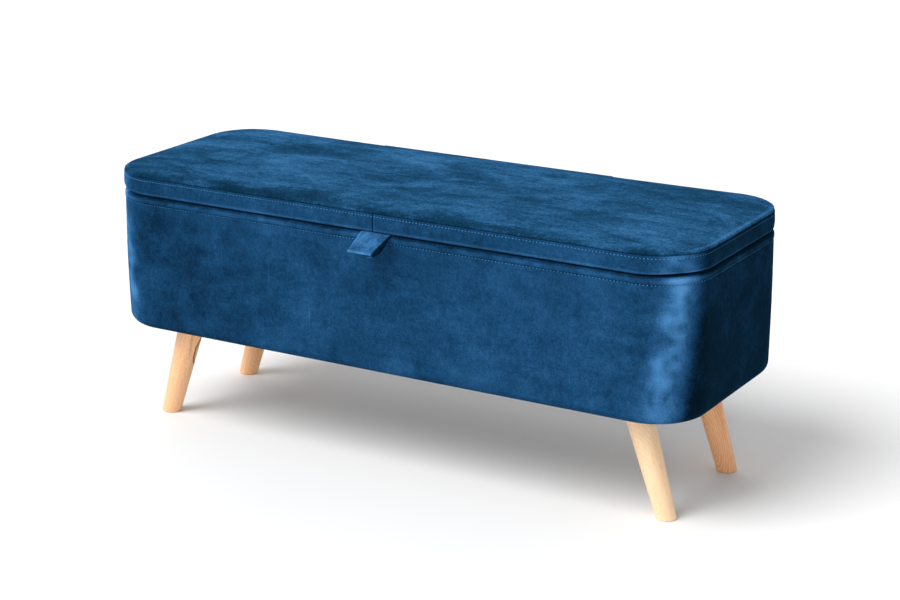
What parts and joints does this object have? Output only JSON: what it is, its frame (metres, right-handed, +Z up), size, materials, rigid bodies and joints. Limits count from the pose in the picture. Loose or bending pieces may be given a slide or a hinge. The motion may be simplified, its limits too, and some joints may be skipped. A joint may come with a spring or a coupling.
{
  "type": "storage bench",
  "caption": "Velvet storage bench: padded lid hinged at the back over a round-cornered box, fabric pull tab, splayed round wooden legs.",
  "frame": {"origin": "on the floor under the middle of the whole bench's box, tab and hinge barrels included", "axes": "+X along the bench to the right of someone facing its front, +Y to the hinged back, +Z up"},
  "size_m": [1.1, 0.451, 0.4635],
  "materials": {
    "velvet": "matte",
    "foam": "matte",
    "plywood": "matte",
    "softwood": "matte",
    "leg_wood": "satin",
    "lining": "matte",
    "dust_cloth": "matte",
    "plate_steel": "satin",
    "fastener_steel": "satin",
    "hinge_steel": "satin",
    "bumper_rubber": "matte"
  },
  "bodies": {
    "box": {"front_panel": "plywood", "back_panel": "plywood", "left_end_panel": "plywood", "right_end_panel": "plywood", "floor_board": "plywood", "corner_shell_front_left": "plywood", "corner_shell_front_right": "plywood", "corner_shell_back_left": "plywood", "corner_shell_back_right": "plywood", "base_rail_front": "softwood", "base_rail_back": "softwood", "base_rail_left": "softwood", "base_rail_right": "softwood", "base_rail_middle": "softwood", "panel_dowels": "softwood", "leg_block_front_left": "softwood", "leg_block_front_right": "softwood", "leg_block_back_left": "softwood", "leg_block_back_right": "softwood", "body_foam_front": "foam", "body_foam_back": "foam", "body_foam_left": "foam", "body_foam_right": "foam", "body_cover": "velvet", "rim_band": "velvet", "floor_lining": "lining", "side_lining": "lining", "dust_cover": "dust_cloth", "leg_front_left": "leg_wood", "leg_plate_front_left": "plate_steel", "leg_front_right": "leg_wood", "leg_plate_front_right": "plate_steel", "leg_back_left": "leg_wood", "leg_plate_back_left": "plate_steel", "leg_back_right": "leg_wood", "leg_plate_back_right": "plate_steel", "leg_plate_screws": "fastener_steel", "hanger_bolts": "fastener_steel", "hinge_body_screws": "fastener_steel", "hinge_body_leaf_left": "hinge_steel", "hinge_body_leaf_right": "hinge_steel", "hinge_pin_left": "hinge_steel", "hinge_pin_right": "hinge_steel"},
    "lid": {"lid_board": "plywood", "lid_foam": "foam", "lid_band": "velvet", "lid_top_cover": "velvet", "lid_lining": "lining", "hinge_lid_leaf_left": "hinge_steel", "hinge_lid_leaf_right": "hinge_steel", "hinge_lid_screws": "fastener_steel", "lid_bumpers": "bumper_rubber", "pull_tab_tail": "velvet"},
    "pull_tab": {"pull_tab": "velvet"}
  },
  "joints": [
    {"name": "lid_hinge", "type": "hinge", "parent": "box", "child": "lid", "pos_m": [0, 0.22212, 0.417], "axis": [-1, 0, 0], "range_deg": [0, 95]},
    {"name": "pull_tab_flex", "type": "hinge", "parent": "lid", "child": "pull_tab", "pos_m": [0.005, -0.18328, 0.417], "axis": [-1, 0, 0], "range_deg": [-30, 95], "stiffness_Nm_per_rad": 0.03}
  ]
}
